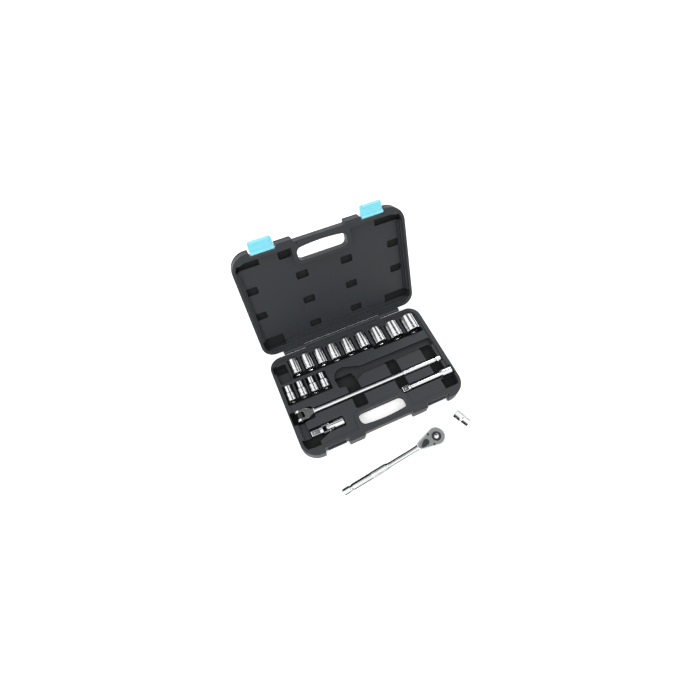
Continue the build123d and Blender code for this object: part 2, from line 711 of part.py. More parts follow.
def square_drive(root, length):
    """Half-inch square standing on a plane, its tip bevelled."""
    with BuildPart() as drive:
        with BuildSketch(root) as section:
            RectangleRounded(DRIVE, DRIVE, 0.9)
        extrude(amount=length - TIP_BEVEL)
        with BuildSketch(root.offset(length - TIP_BEVEL)) as end:
            RectangleRounded(DRIVE, DRIVE, 0.9)
        extrude(amount=TIP_BEVEL, taper=30)
    return drive.part


def make_ball(plane):
    with BuildPart() as ball:
        with Locations(plane.from_local_coords(Vector(0, 0, BALL_SINK))):
            Sphere(BALL_R)
    return ball.part


def make_spring(plane, top, bottom, radius, wire, turns):
    """Coil spring between two heights along a plane's Z."""
    rise = top - bottom - 2 * wire
    with BuildPart() as spring:
        with BuildLine() as path:
            Helix(rise / turns, rise, radius)
        with BuildSketch(Plane(path.line @ 0, z_dir=path.line % 0)):
            Circle(wire)
        sweep(path=path.line, is_frenet=True)
    return plane.offset(bottom + wire).location * spring.part


def make_ball_spring(plane):
    top = BALL_SINK - BALL_R - 0.1
    return make_spring(plane, top, top - SPRING_LENGTH, SPRING_R, SPRING_WIRE, 6)


# ---- flex handle -----------------------------------------------------------------------------
FLEX = Plane((0, FLEX_Y, FLEX_Z), x_dir=(1, 0, 0), z_dir=(0, 0, 1))
SLOT_HALF = HEAD_W / 2 + 0.2
SLOT_ROOT = 10.6  # behind the pivot
GRIP_X = 87.0
flex_profile = [
    (-152.0, 0.0),
    (-152.0, 5.0),
    (GRIP_X - 4, 5.0),
    (GRIP_X - 2.5, 6.3),
    (GRIP_X + 1.5, 6.3),
    (GRIP_X + 3, 5.9),
    (169.0, 5.9),
    (170.5, 5.0),
    (172.5, 5.0),
    (174.0, 6.9),
    (FLEX_END_X - 2, 6.9),
    (FLEX_END_X, 5.2),
    (FLEX_END_X, 0.0),
]

with BuildPart() as flex_bar:
    # fork: plan and side view of the forging, intersected
    with BuildSketch(FLEX.offset(-FORK_R)) as plan:
        with BuildLine():
            Polyline(
                (FLEX_PIVOT_X - FORK_R - 2, FORK_HALF),
                (-162.0, FORK_HALF),
                (-150.0, 5.6),
                (-142.0, 4.9),
                (-142.0, -4.9),
                (-150.0, -5.6),
                (-162.0, -FORK_HALF),
                (FLEX_PIVOT_X - FORK_R - 2, -FORK_HALF),
                close=True,
            )
        make_face()
        fillet(plan.vertices().filter_by_position(Axis.X, -165, -145), 5)
    extrude(amount=2 * FORK_R)
    with BuildSketch(front_plane(FLEX, -20)) as side_view:
        with Locations((FLEX_PIVOT_X, 0)):
            Circle(FORK_R)
        with Locations((-146.0, 0)):
            Circle(4.9)
        make_hull()
    extrude(amount=-40, mode=Mode.INTERSECT)
    # slot for the swivel head, with a round root
    with BuildSketch(FLEX.offset(-FORK_R)) as slot:
        with Locations((FLEX_PIVOT_X - SLOT_ROOT, 0)):
            RectangleRounded(4 * SLOT_ROOT, 2 * SLOT_HALF, 3)
    extrude(amount=2 * FORK_R, mode=Mode.SUBTRACT)
    with BuildSketch(front_plane(FLEX)) as half:
        with BuildLine():
            Polyline(*flex_profile, close=True)
        make_face()
    revolve(axis=Axis(FLEX.origin, FLEX.x_dir))
    with BuildSketch(front_plane(FLEX, -20)) as pin_hole:
        with Locations((FLEX_PIVOT_X, 0)):
            Circle(FLEX_PIN_R + RUNNING)
    extrude(amount=-40, mode=Mode.SUBTRACT)
save(flex_bar.part, "flex_handle_bar")

SWIVEL = shifted(FLEX, x=FLEX_PIVOT_X)
swivel_ball = side_plane(shifted(SWIVEL, z=-HEAD_REACH + BALL_FROM_TIP))
with BuildPart() as flex_head:
    with BuildSketch(front_plane(SWIVEL, -HEAD_W / 2)) as barrel:
        Circle(HEAD_R)
        with Locations((0, -HEAD_R / 2)):
            Rectangle(DRIVE, HEAD_R)
    extrude(amount=-HEAD_W)
    with BuildSketch(SWIVEL.offset(-HEAD_R + 1)) as tang:
        Rectangle(DRIVE, DRIVE)
    extrude(amount=-(HEAD_REACH - HEAD_R + 1))
    chamfer(flex_head.faces().sort_by(Axis.Z)[0].edges(), 1.5)
    with BuildSketch(front_plane(SWIVEL, -HEAD_W / 2)) as pin_hole:
        Circle(FLEX_PIN_R + RUNNING)
    extrude(amount=-HEAD_W, mode=Mode.SUBTRACT)
    add(ball_hole(swivel_ball, BALL_HOLE), mode=Mode.SUBTRACT)
save(flex_head.part, "flex_handle_head")

with BuildPart() as flex_pin:
    with BuildSketch(front_plane(SWIVEL, -FORK_HALF - 0.8)) as shank:
        Circle(FLEX_PIN_R)
    extrude(amount=-2 * (FORK_HALF + 0.8))
    for face in (-FORK_HALF - 0.8, FORK_HALF):
        with BuildSketch(front_plane(SWIVEL, face)) as rivet_head:
            Circle(FLEX_PIN_R + 1.4)
        extrude(amount=-0.8)
    chamfer(flex_pin.edges().filter_by(GeomType.CIRCLE).group_by(Axis.Y)[0], 0.3)
save(flex_pin.part, "flex_handle_pin")
save(make_ball(swivel_ball), "flex_handle_ball")
save(make_ball_spring(swivel_ball), "flex_handle_ball_spring")

# ---- extension -------------------------------------------------------------------------------
EXT = Plane((0, EXT_Y, EXT_Z), x_dir=(1, 0, 0), z_dir=(0, 0, 1))
ext_profile = [
    (EXT_TIP_X + 14.0, 0.0),
    (EXT_TIP_X + 14.0, 6.0),
    (EXT_TIP_X + 16.0, 6.9),
    (EXT_TIP_X + 19.5, 6.9),
    (EXT_TIP_X + 21.5, EXT_R),
    (EXT_END_X - 31.0, EXT_R),
    (EXT_END_X - 25.5, EXT_SOCKET_R - 0.4),
    (EXT_END_X - 23.5, EXT_SOCKET_R),
    (EXT_END_X - 1.0, EXT_SOCKET_R),
    (EXT_END_X, EXT_SOCKET_R - 1.0),
    (EXT_END_X, 0.0),
]
ext_ball = shifted(EXT, x=EXT_TIP_X + BALL_FROM_TIP)
ext_mouth = side_plane(EXT, EXT_END_X)
with BuildPart() as extension_bar:
    with BuildSketch(front_plane(EXT)) as half:
        with BuildLine():
            Polyline(*ext_profile, close=True)
        make_face()
    revolve(axis=Axis(EXT.origin, EXT.x_dir))
    add(square_drive(flipped(EXT, EXT_TIP_X + 15.0), 15.0))
    with BuildSketch(ext_mouth) as female:
        Rectangle(DRIVE + DRIVE_FIT, DRIVE + DRIVE_FIT)
    extrude(amount=-SQUARE_DEPTH, mode=Mode.SUBTRACT)
    with BuildSketch(ext_mouth) as lead_in:
        Circle(0.62 * DRIVE)
    extrude(amount=-1.2, taper=30, mode=Mode.SUBTRACT)
    # cross hole where another tool's ball snaps in
    with BuildSketch(front_plane(EXT, -12)) as cross_hole:
        with Locations((EXT_END_X - 8, 0)):
            Circle(BALL_R)
    extrude(amount=-24, mode=Mode.SUBTRACT)
    add(ball_hole(ext_ball, BALL_HOLE), mode=Mode.SUBTRACT)
save(extension_bar.part, "extension_bar")
save(make_ball(ext_ball), "extension_ball")
save(make_ball_spring(ext_ball), "extension_ball_spring")

# ---- universal joint -------------------------------------------------------------------------
UJ = Plane((UJ_X, UJ_Y, UJ_Z), x_dir=(1, 0, 0), z_dir=(0, 0, 1))
PRONG_TIP = 5.1  # beyond the pin
YOKE_FACE = 14.0  # root of the prongs
uj_ball = shifted(UJ, x=UJ_TIP_X - UJ_X + BALL_FROM_TIP)
uj_mouth = side_plane(UJ, UJ_END_X - UJ_X)

with BuildPart() as socket_yoke:
    with BuildSketch(side_plane(UJ, -PRONG_TIP)) as round_bar:
        Circle(UJ_R)
    extrude(amount=UJ_END_X - UJ_X + PRONG_TIP)
    chamfer(socket_yoke.faces().sort_by(Axis.X)[-1].edges(), 0.8)
    # space between the upper and lower prongs
    with BuildSketch(front_plane(UJ, -UJ_R - 1)) as throat:
        with Locations((-PRONG_TIP - 1 + (YOKE_FACE + PRONG_TIP + 1) / 2, 0)):
            Rectangle(YOKE_FACE + PRONG_TIP + 1, 2 * UJ_FLAT)
        fillet(throat.vertices().group_by(Axis.X)[-1], 3)
    extrude(amount=-2 * UJ_R - 2, mode=Mode.SUBTRACT)
    # prongs rounded in plan and narrowed to clear the other yoke
    with BuildSketch(UJ.offset(-UJ_R)) as prong_plan:
        Circle(PRONG_TIP)
        with Locations((YOKE_FACE / 2, 0)):
            Rectangle(YOKE_FACE, 2 * PRONG_TIP)
        with Locations((YOKE_FACE + 25, 0)):
            Rectangle(50, 4 * UJ_R)
    extrude(amount=2 * UJ_R, mode=Mode.INTERSECT)
    with BuildSketch(UJ.offset(-UJ_R - 1)) as pin_hole:
        Circle(UJ_PIN_R + RUNNING)
    extrude(amount=2 * UJ_R + 2, mode=Mode.SUBTRACT)
    with BuildSketch(uj_mouth) as female:
        Rectangle(DRIVE + DRIVE_FIT, DRIVE + DRIVE_FIT)
    extrude(amount=-SQUARE_DEPTH, mode=Mode.SUBTRACT)
save(socket_yoke.part, "ujoint_socket_yoke")

with BuildPart() as drive_yoke:
    with BuildSketch(side_plane(UJ, PRONG_TIP)) as round_bar:
        Circle(UJ_R)
    extrude(amount=-(PRONG_TIP + YOKE_FACE + 6.5))
    with BuildSketch(UJ.offset(-UJ_R - 1)) as throat:
        with Locations((PRONG_TIP + 1 - (YOKE_FACE + PRONG_TIP + 1) / 2, 0)):
            Rectangle(YOKE_FACE + PRONG_TIP + 1, 2 * UJ_FLAT)
        fillet(throat.vertices().group_by(Axis.X)[0], 3)
    extrude(amount=2 * UJ_R + 2, mode=Mode.SUBTRACT)
    with BuildSketch(front_plane(UJ, -UJ_R)) as prong_side:
        Circle(PRONG_TIP)
        with Locations((-YOKE_FACE / 2, 0)):
            Rectangle(YOKE_FACE, 2 * PRONG_TIP)
        with Locations((-YOKE_FACE - 25, 0)):
            Rectangle(50, 4 * UJ_R)
    extrude(amount=-2 * UJ_R, mode=Mode.INTERSECT)
    with BuildSketch(front_plane(UJ, -UJ_R - 1)) as pin_hole:
        Circle(UJ_PIN_R + RUNNING)
    extrude(amount=-2 * UJ_R - 2, mode=Mode.SUBTRACT)
    add(square_drive(flipped(UJ, -YOKE_FACE - 6.0), UJ_X - UJ_TIP_X - YOKE_FACE - 6.0))
    add(ball_hole(uj_ball, BALL_HOLE), mode=Mode.SUBTRACT)
save(drive_yoke.part, "ujoint_drive_yoke")

with BuildPart() as centre_block:
    with BuildSketch(UJ.offset(-UJ_BLOCK)) as square:
        Rectangle(2 * UJ_BLOCK, 2 * UJ_BLOCK)
    extrude(amount=2 * UJ_BLOCK)
    chamfer(centre_block.edges(), 0.8)
    with BuildSketch(UJ.offset(-UJ_BLOCK)) as upright_hole:
        Circle(UJ_PIN_R)
    extrude(amount=2 * UJ_BLOCK, mode=Mode.SUBTRACT)
    with BuildSketch(front_plane(UJ, -UJ_BLOCK)) as cross_hole:
        Circle(UJ_PIN_R)
    extrude(amount=-2 * UJ_BLOCK, mode=Mode.SUBTRACT)
save(centre_block.part, "ujoint_centre_block")

PIN_END = UJ_R - 0.6
with BuildPart() as long_pin:
    with BuildSketch(front_plane(UJ, -PIN_END)) as section:
        Circle(UJ_PIN_R)
    extrude(amount=-2 * PIN_END)
save(long_pin.part, "ujoint_long_pin")

with BuildPart() as short_pins:
    for low in (-PIN_END, UJ_PIN_R + 0.3):
        with BuildSketch(UJ.offset(low)) as section:
            Circle(UJ_PIN_R)
        extrude(amount=PIN_END - UJ_PIN_R - 0.3)
save(short_pins.part, "ujoint_short_pins")
save(make_ball(uj_ball), "ujoint_ball")
save(make_ball_spring(uj_ball), "ujoint_ball_spring")

# ---- ratchet ---------------------------------------------------------------------------------
# The tip of the square and the end of the handle both rest on the table, which sets the tilt.
touch_square = (-DRIVE / 2, SQUARE_TIP)
touch_knob = (-HANDLE_END + 2, -KNOB_R)
TILT = atan2(touch_knob[1] - touch_square[1], touch_square[0] - touch_knob[0])
HEAD_Z = 0.1 - touch_square[0] * sin(TILT) - touch_square[1] * cos(TILT)
TURN = radians(HANDLE_TURN)
RAT = Plane(
    (HEAD_AT[0], HEAD_AT[1], HEAD_Z),
    x_dir=(cos(TURN) * cos(TILT), sin(TURN) * cos(TILT), sin(TILT)),
    z_dir=(-cos(TURN) * sin(TILT), -sin(TURN) * sin(TILT), cos(TILT)),
)
PAWL_TURN = LEVER_SWING  # the lever rests swung to one side
PAWL = shifted(RAT, x=LEVER_AT)
engaged = radians(PAWL_TURN - PAWL_SPREAD)
tooth_x = LEVER_AT + PAWL_REACH * cos(engaged)
tooth_y = PAWL_REACH * sin(engaged)
GEAR_PHASE = degrees(atan2(tooth_y, tooth_x))  # a gap of the gear faces the pawl's tooth

handle_profile = [
    (-34.0, 0.0),
    (-34.0, 8.6),
    (-48.0, 6.6),
    (-60.0, 6.1),
    (-124.0, 6.1),
    (-128.0, 7.9),
    (-212.0, 7.9),
    (-214.5, 6.4),
    (-217.5, 6.4),
    (-219.0, KNOB_R),
    (-HANDLE_END + 2, KNOB_R),
    (-HANDLE_END, KNOB_R - 2),
    (-HANDLE_END, 0.0),
]


def pear(plane, inset=0.0):
    """Outline of the ratchet's head."""
    with BuildSketch(plane) as outline:
        Circle(PEAR_R - inset)
        with Locations((NECK_AT, 0)):
            Circle(NECK_R - inset)
        make_hull()
    return outline.sketch


def bored(plane, radius, depth):
    """Plug to cut or add: a cylinder upwards from a plane."""
    with BuildPart() as plug:
        with BuildSketch(plane) as section:
            Circle(radius)
        extrude(amount=depth)
    return plug.part


COVER_Z = HEAD_HALF - COVER_T
CAVITY_Z = -6.8
PAWL_LOW = -5.4
PAWL_HIGH = 4.6
with BuildPart() as ratchet_body:
    extrude(pear(RAT.offset(-HEAD_HALF)), amount=2 * HEAD_HALF)
    fillet(ratchet_body.edges().group_by(Axis(RAT.origin, RAT.z_dir))[0], 2.2)
    fillet(ratchet_body.edges().group_by(Axis(RAT.origin, RAT.z_dir))[-1], 1.4)
    with BuildSketch(front_plane(RAT)) as half:
        with BuildLine():
            Polyline(*handle_profile, close=True)
        make_face()
    revolve(axis=Axis(RAT.origin, RAT.x_dir))
    extrude(pear(RAT.offset(COVER_Z), 2.3), amount=COVER_T + 1, mode=Mode.SUBTRACT)
    # gear chamber and the pawl's chamber behind it
    add(bored(RAT.offset(CAVITY_Z), GEAR_BORE, HEAD_HALF - CAVITY_Z), mode=Mode.SUBTRACT)
    add(bored(RAT.offset(-HEAD_HALF - 1), 11.05, HEAD_HALF), mode=Mode.SUBTRACT)
    with BuildSketch(PAWL.offset(PAWL_LOW - 0.4)) as chamber:
        Circle(8.6)
        with BuildLine():
            spread = radians(PAWL_SPREAD + LEVER_SWING + 10)
            far = PAWL_REACH + 0.5
            Polyline(
                (0, 0),
                (2 * far * cos(spread), 2 * far * sin(spread)),
                (2 * far, 0),
                (2 * far * cos(spread), -2 * far * sin(spread)),
                close=True,
            )
        make_face()
        Circle(far, mode=Mode.INTERSECT)
    extrude(amount=COVER_Z - PAWL_LOW + 0.4, mode=Mode.SUBTRACT)
    # bore for the plunger that presses on the back of the pawl
    with BuildSketch(side_plane(PAWL, -18)) as plunger_bore:
        Circle(2.2)
    extrude(amount=14, mode=Mode.SUBTRACT)
    for side in (-1, 1):
        screw_hole = shifted(RAT, x=SCREW_AT[0], y=side * SCREW_AT[1], z=COVER_Z - 5.5)
        add(bored(screw_hole, 1.3, 8), mode=Mode.SUBTRACT)
save(ratchet_body.part, "ratchet_body")

with BuildPart() as ratchet_cover:
    extrude(pear(RAT.offset(COVER_Z), 2.4), amount=COVER_T)
    add(bored(RAT.offset(COVER_Z - 1), 10.6, COVER_T + 2), mode=Mode.SUBTRACT)
    add(bored(PAWL.offset(COVER_Z - 1), 4.1, COVER_T + 2), mode=Mode.SUBTRACT)
    for side in (-1, 1):
        screw_hole = shifted(RAT, x=SCREW_AT[0], y=side * SCREW_AT[1], z=COVER_Z - 1)
        add(bored(screw_hole, 1.55, COVER_T + 2), mode=Mode.SUBTRACT)
save(ratchet_cover.part, "ratchet_cover")

with BuildPart() as cover_screws:
    for side in (-1, 1):
        seat = shifted(RAT, x=SCREW_AT[0], y=side * SCREW_AT[1], z=HEAD_HALF)
        with BuildSketch(seat) as screw_head:
            Circle(2.5)
        extrude(amount=1.0)
        with BuildSketch(seat.offset(-COVER_T - 5.0)) as shank:
            Circle(1.25)
        extrude(amount=COVER_T + 5.0)
        with BuildSketch(seat.offset(0.4)) as slot:
            Rectangle(6, 0.8)
        extrude(amount=1, mode=Mode.SUBTRACT)
save(cover_screws.part, "ratchet_cover_screws")

gear_step = 2 * pi / TEETH
with BuildPart() as ratchet_drive:
    with BuildSketch(RAT.offset(CAVITY_Z + 0.3)) as gear:
        with BuildLine():
            points = []
            for tooth in range(TEETH):
                gap = radians(GEAR_PHASE) + tooth * gear_step
                points.append((TOOTH_ROOT * cos(gap), TOOTH_ROOT * sin(gap)))
                land = gap + gear_step / 2
                for edge in (-0.08, 0.08):
                    angle = land + edge * gear_step
                    points.append((TOOTH_TIP * cos(angle), TOOTH_TIP * sin(angle)))
            Polyline(*points, close=True)
        make_face()
    extrude(amount=COVER_Z - 0.6 - CAVITY_Z - 0.3)
    with BuildSketch(RAT.offset(COVER_Z - 0.6)) as upper_journal:
        Circle(10.5)
    extrude(amount=COVER_T + 1.0)
    with BuildSketch(RAT.offset(-HEAD_HALF - 1.2)) as lower_journal:
        Circle(10.95)
    extrude(amount=HEAD_HALF + 1.2 + CAVITY_Z + 0.3)
    drive_root = Plane(RAT.offset(-HEAD_HALF).origin, x_dir=RAT.x_dir, z_dir=-RAT.z_dir)
    add(square_drive(drive_root, -SQUARE_TIP - HEAD_HALF))
    # stepped hole for the release button and its stem
    add(bored(RAT.offset(SQUARE_TIP + 1.6), 3.9, -SQUARE_TIP), mode=Mode.SUBTRACT)
    add(bored(RAT.offset(0.5), BUTTON_R + 0.15, 20), mode=Mode.SUBTRACT)
    rat_ball = Plane(RAT.from_local_coords(Vector(0, 0, -18.2)), x_dir=RAT.y_dir, z_dir=RAT.x_dir)
    add(ball_hole(rat_ball, -2.0), mode=Mode.SUBTRACT)
save(ratchet_drive.part, "ratchet_drive")
save(make_ball(rat_ball), "ratchet_ball")

# The stem tapers where it bears on the ball, so pushing the button lets the ball sink in step.
TAPER = BALL_PROUD / BUTTON_TRAVEL
stem_at_ball = BALL_SINK - BALL_R * sqrt(1 + TAPER**2) - 0.03
with BuildPart() as ratchet_button:
    with BuildSketch(front_plane(RAT)) as half:
        with BuildLine():
            Polyline(
                (0, SQUARE_TIP + 5.4),
                (stem_at_ball + 1.4 * TAPER, SQUARE_TIP + 5.4),
                (stem_at_ball - 4.2 * TAPER, -18.2 + 4.2),
                (stem_at_ball - 4.2 * TAPER, -11.0),
                (3.7, -9.5),
                (3.7, 6.6),
                (BUTTON_R, 6.6),
                (BUTTON_R, 10.2),
                (BUTTON_R - 1.0, 11.0),
                (0, 11.4),
                close=True,
            )
        make_face()
    revolve(axis=Axis(RAT.origin, RAT.z_dir))
save(ratchet_button.part, "ratchet_button")
save(make_spring(RAT, 6.5, 0.6, 4.6, 0.4, 3), "ratchet_button_spring")

with BuildPart() as ratchet_pawl:
    with BuildSketch(PAWL.offset(PAWL_LOW)) as shape:
        Circle(6.6)
        for spread in (-PAWL_SPREAD, PAWL_SPREAD):
            with BuildLine():
                aim = radians(PAWL_TURN + spread)
                half = radians(13)
                back = 9.5
                tip = (PAWL_REACH * cos(aim), PAWL_REACH * sin(aim))
                Polyline(
                    tip,
                    (tip[0] - back * cos(aim - half), tip[1] - back * sin(aim - half)),
                    (tip[0] - back * cos(aim + half), tip[1] - back * sin(aim + half)),
                    close=True,
                )
            make_face()
        Circle(2.9, mode=Mode.SUBTRACT)
    extrude(amount=PAWL_HIGH - PAWL_LOW)
save(ratchet_pawl.part, "ratchet_pawl")

with BuildPart() as ratchet_lever:
    with BuildSketch(PAWL.offset(PAWL_LOW)) as spindle:
        Circle(2.9)
    extrude(amount=PAWL_HIGH - PAWL_LOW + 0.2)
    with BuildSketch(PAWL.offset(PAWL_HIGH + 0.2)) as neck:
        Circle(4.0)
    extrude(amount=HEAD_HALF + 0.2 - PAWL_HIGH)
    with BuildSketch(PAWL.offset(HEAD_HALF + 0.3)) as hub:
        Circle(6.6)
        with Locations(Location((0, 0), PAWL_TURN)):
            with Locations((-11.5, 0)):
                Circle(3.4)
        make_hull()
    extrude(amount=3.2)
    with BuildSketch(PAWL.offset(HEAD_HALF + 3.4)) as thumb_ridge:
        with Locations(Location((0, 0), PAWL_TURN)):
            with Locations((-12.0, 0)):
                SlotOverall(5.6, 2.6, rotation=90)
    extrude(amount=1.6)
save(ratchet_lever.part, "ratchet_lever")

with BuildPart() as pawl_plunger:
    with BuildSketch(side_plane(PAWL, -12.0)) as shank:
        Circle(2.1)
    extrude(amount=5.0)
    chamfer(pawl_plunger.edges().group_by(Axis(RAT.origin, RAT.x_dir))[-1], 1.0)
save(pawl_plunger.part, "ratchet_pawl_plunger")
plunger_axis = Plane(PAWL.origin, x_dir=RAT.y_dir, z_dir=RAT.x_dir)
save(make_spring(plunger_axis, -12.1, -17.8, 1.6, 0.3, 4), "ratchet_pawl_spring")
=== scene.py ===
"""Looks of the socket wrench set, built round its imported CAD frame.

Run it as a script: it registers an operator for each group of pieces and for the stage, then
calls them in order. The CAD nodes keep their shape and get detailed finishes here. The diamond
knurl of the ratchet's grip is modelled as a piece of its own.
"""
import json
from math import atan2, cos, pi, radians, sin

import bpy
from mathutils import Matrix, Vector


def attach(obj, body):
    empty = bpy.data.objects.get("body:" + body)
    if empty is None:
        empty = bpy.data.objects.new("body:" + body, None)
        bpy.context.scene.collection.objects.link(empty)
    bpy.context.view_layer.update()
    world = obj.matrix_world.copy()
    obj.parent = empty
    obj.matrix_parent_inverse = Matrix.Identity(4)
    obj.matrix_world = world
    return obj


bl_info = {
    "name": "Socket wrench set",
    "version": (1, 0, 0),
    "blender": (4, 5, 0),
    "location": "View3D > Sidebar > Socket Set",
    "description": "Finishes, knurled grip and studio for an open socket set",
    "category": "Object",
}

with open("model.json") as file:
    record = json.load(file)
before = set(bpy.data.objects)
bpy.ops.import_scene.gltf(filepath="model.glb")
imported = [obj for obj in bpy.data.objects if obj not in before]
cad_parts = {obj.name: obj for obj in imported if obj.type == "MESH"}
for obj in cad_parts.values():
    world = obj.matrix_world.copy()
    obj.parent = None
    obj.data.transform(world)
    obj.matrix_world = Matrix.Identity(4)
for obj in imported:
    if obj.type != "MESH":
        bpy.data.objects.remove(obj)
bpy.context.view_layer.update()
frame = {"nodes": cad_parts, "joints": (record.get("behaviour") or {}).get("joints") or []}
NODES = frame["nodes"]
JOINTS = {joint["name"]: joint for joint in frame["joints"]}
MM = 0.001

# the studio's dark parts, which draw the stripes on the chrome
SKIRT = (0.26, 0.40)  # heights on the unit dome where the dark skirt starts and ends to fade
SKIRT_LEVEL = 0.02
PANEL_WAY = (0.192, 0.4265, 0.884)  # towards the dark panel overhead
PANEL_EDGE = (0.955, 0.975)  # cosines of the angle from its middle where it fades in
PANEL_LEVEL = 0.10
SKY_STRENGTH = 1.25
# name, centre, width, height, turn, lean from flat; all lengths in metres, angles in degrees
CARDS = (
    ("card_behind", (-0.035, -0.165, 0.032), 0.30, 0.064, 5.35, 90.0),
    ("card_flat", (-0.038, -0.181, 0.0005), 0.32, 0.040, 5.35, 0.0),
    ("card_before", (-0.035, -0.262, 0.008), 0.30, 0.016, 5.35, 90.0),
    ("card_socket_near", (0.1371, -0.2088, 0.030), 0.020, 0.052, -65.5, 90.0),
    ("card_socket_far", (0.1267, -0.1860, 0.030), 0.020, 0.052, -65.5, 90.0),
    ("card_socket_right", (0.1890, -0.1714, 0.0005), 0.045, 0.030, -65.5, 0.0),
)
# name, place, size in metres, watts
LAMPS = (
    ("key", (-1.0, -0.9, 1.3), 0.8, 9.0),
    ("rim", (0.9, 1.2, 1.0), 0.5, 5.0),
)
TABLE_SIZE = 40.0
TABLE_Z = -0.0003  # a hair under the case, so the faces don't coincide

CAMERA_AT = (-0.19423, -0.34290, 0.89537)
CAMERA_AZIMUTH = -24.27
CAMERA_ELEVATION = 62.11

GRIP = (-166.0 * MM, -130.0 * MM)  # the knurl's ends along the ratchet's handle
GRIP_RADIUS = 7.95 * MM

# where the case's pockets get painted shade, their floors darkened to stand in for the shade in them:
# heights above the base's underside
TRAY_SHADE_TOP = 19.0 * MM
TRAY_FADE = 6.0 * MM
TRAY_SKIN = 3.0 * MM
TRAY_FRONT = -118.0 * MM
TRAY_HALF = 200.0 * MM
LID_SHADE_FROM = 46.9 * MM
LID_FADE = 0.6 * MM
LID_SKIN = 54.4 * MM
LID_HALF = 197.0 * MM


# ---- shader building -------------------------------------------------------------------------
class Value:
    """A number in a material. Arithmetic on it adds Math nodes."""

    def __init__(self, finish, socket):
        self.finish = finish
        self.socket = socket

    def maths(self, operation, *others, clamp=False):
        node = self.finish.add("ShaderNodeMath", {"operation": operation, "use_clamp": clamp})
        for slot, value in enumerate((self, *others)):
            self.finish.feed(node.inputs[slot], value)
        return Value(self.finish, node.outputs[0])

    def __add__(self, other):
        return self.maths("ADD", other)

    def __radd__(self, other):
        return self.maths("ADD", other)

    def __sub__(self, other):
        return self.maths("SUBTRACT", other)

    def __rsub__(self, other):
        node = self.finish.add("ShaderNodeMath", {"operation": "SUBTRACT"}, {0: other, 1: self})
        return Value(self.finish, node.outputs[0])

    def __mul__(self, other):
        return self.maths("MULTIPLY", other)

    def __rmul__(self, other):
        return self.maths("MULTIPLY", other)

    def __truediv__(self, other):
        return self.maths("DIVIDE", other)

    def above(self, level, softness):
        """0 below the level, 1 above it, with a soft step between."""
        return ((self - (level - softness)) / (2 * softness)).maths("ADD", 0.0, clamp=True)


class Finish:
    """A material under construction round one Principled shader."""

    def __init__(self, name):
        self.material = bpy.data.materials.new(name)
        self.material.use_nodes = True
        self.tree = self.material.node_tree
        self.tree.nodes.clear()
        self.shader = self.add("ShaderNodeBsdfPrincipled")
        output = self.add("ShaderNodeOutputMaterial")
        self.tree.links.new(self.shader.outputs[0], output.inputs["Surface"])
        self.place = self.add("ShaderNodeTexCoord").outputs["Object"]

    def feed(self, socket, value):
        if isinstance(value, Value):
            value = value.socket
        if isinstance(value, bpy.types.NodeSocket):
            self.tree.links.new(value, socket)
        else:
            socket.default_value = value

    def add(self, kind, settings=None, values=None):
        """Any node: its settings first, then the values or links of its sockets."""
        node = self.tree.nodes.new(kind)
        for key, setting in (settings or {}).items():
            setattr(node, key, setting)
        for key, value in (values or {}).items():
            self.feed(node.inputs[key], value)
        return node

    def moved(self, scale=(1, 1, 1), turn=(0, 0, 0)):
        """Object coordinates, turned and stretched."""
        values = {"Vector": self.place, "Rotation": turn, "Scale": scale}
        return self.add("ShaderNodeMapping", None, values).outputs[0]

    def parts(self):
        """X, Y and Z of the object coordinates."""
        split = self.add("ShaderNodeSeparateXYZ", None, {0: self.place})
        return [Value(self, output) for output in split.outputs]

    def noise(self, scale, detail=2.0, rough=0.5, place=None):
        values = {"Vector": place or self.place, "Scale": scale, "Detail": detail, "Roughness": rough}
        return Value(self, self.add("ShaderNodeTexNoise", None, values).outputs[0])

    def cells(self, scale, feature="F1"):
        values = {"Vector": self.place, "Scale": scale}
        node = self.add("ShaderNodeTexVoronoi", {"feature": feature}, values)
        return Value(self, node.outputs["Distance"])

    def mixed(self, factor, low, high):
        """Colour between two colours."""
        node = self.add("ShaderNodeMix", {"data_type": "RGBA"})
        self.feed(node.inputs[0], factor)
        self.feed(node.inputs[6], low)
        self.feed(node.inputs[7], high)
        return node.outputs[2]

    def rounded_normal(self, radius):
        """Normal that rounds every edge by a small radius."""
        return self.add("ShaderNodeBevel", {"samples": 4}, {"Radius": radius}).outputs[0]

    def edges(self, rounded):
        """1 on edges that the rounding reaches, 0 elsewhere."""
        flat = self.add("ShaderNodeNewGeometry").outputs["True Normal"]
        dot = self.add("ShaderNodeVectorMath", {"operation": "DOT_PRODUCT"}, {0: rounded, 1: flat})
        return 1.0 - Value(self, dot.outputs["Value"])

    def bump(self, height, strength, depth, normal):
        values = {"Height": height, "Strength": strength, "Distance": depth, "Normal": normal}
        return self.add("ShaderNodeBump", None, values).outputs[0]

    def set(self, **values):
        for key, value in values.items():
            self.feed(self.shader.inputs[key.replace("_", " ")], value)
        return self.material


def shade(colour, factor):
    return tuple(min(1.0, channel * factor) for channel in colour[:3]) + (1.0,)


def painted_shade_in_tray(f):
    """Painted shade mask: 1 in the floors of the tray's pockets, 0 on the deck and outside the tray."""
    x, y, z = f.parts()
    inside = y.above(TRAY_FRONT, MM) * (1.0 - (x * x).above(TRAY_HALF**2, MM * MM))
    return (1.0 - z.above(TRAY_SHADE_TOP, TRAY_FADE)) * z.above(TRAY_SKIN, 0.5 * MM) * inside


def painted_shade_in_lid(f):
    """Painted shade mask: 1 in the pockets of the lid's panel, 0 on the panel and outside the lid."""
    x, y, z = f.parts()
    hinge = JOINTS["lid_hinge"]
    lean = -radians(hinge["range_deg"][0])
    depth = (y - hinge["pos_m"][1]) * sin(lean) + (z - hinge["pos_m"][2]) * cos(lean) + hinge["pos_m"][2]
    inside = 1.0 - (x * x).above(LID_HALF**2, MM * MM)
    return depth.above(LID_SHADE_FROM, LID_FADE) * (1.0 - depth.above(LID_SKIN, 0.3 * MM)) * inside


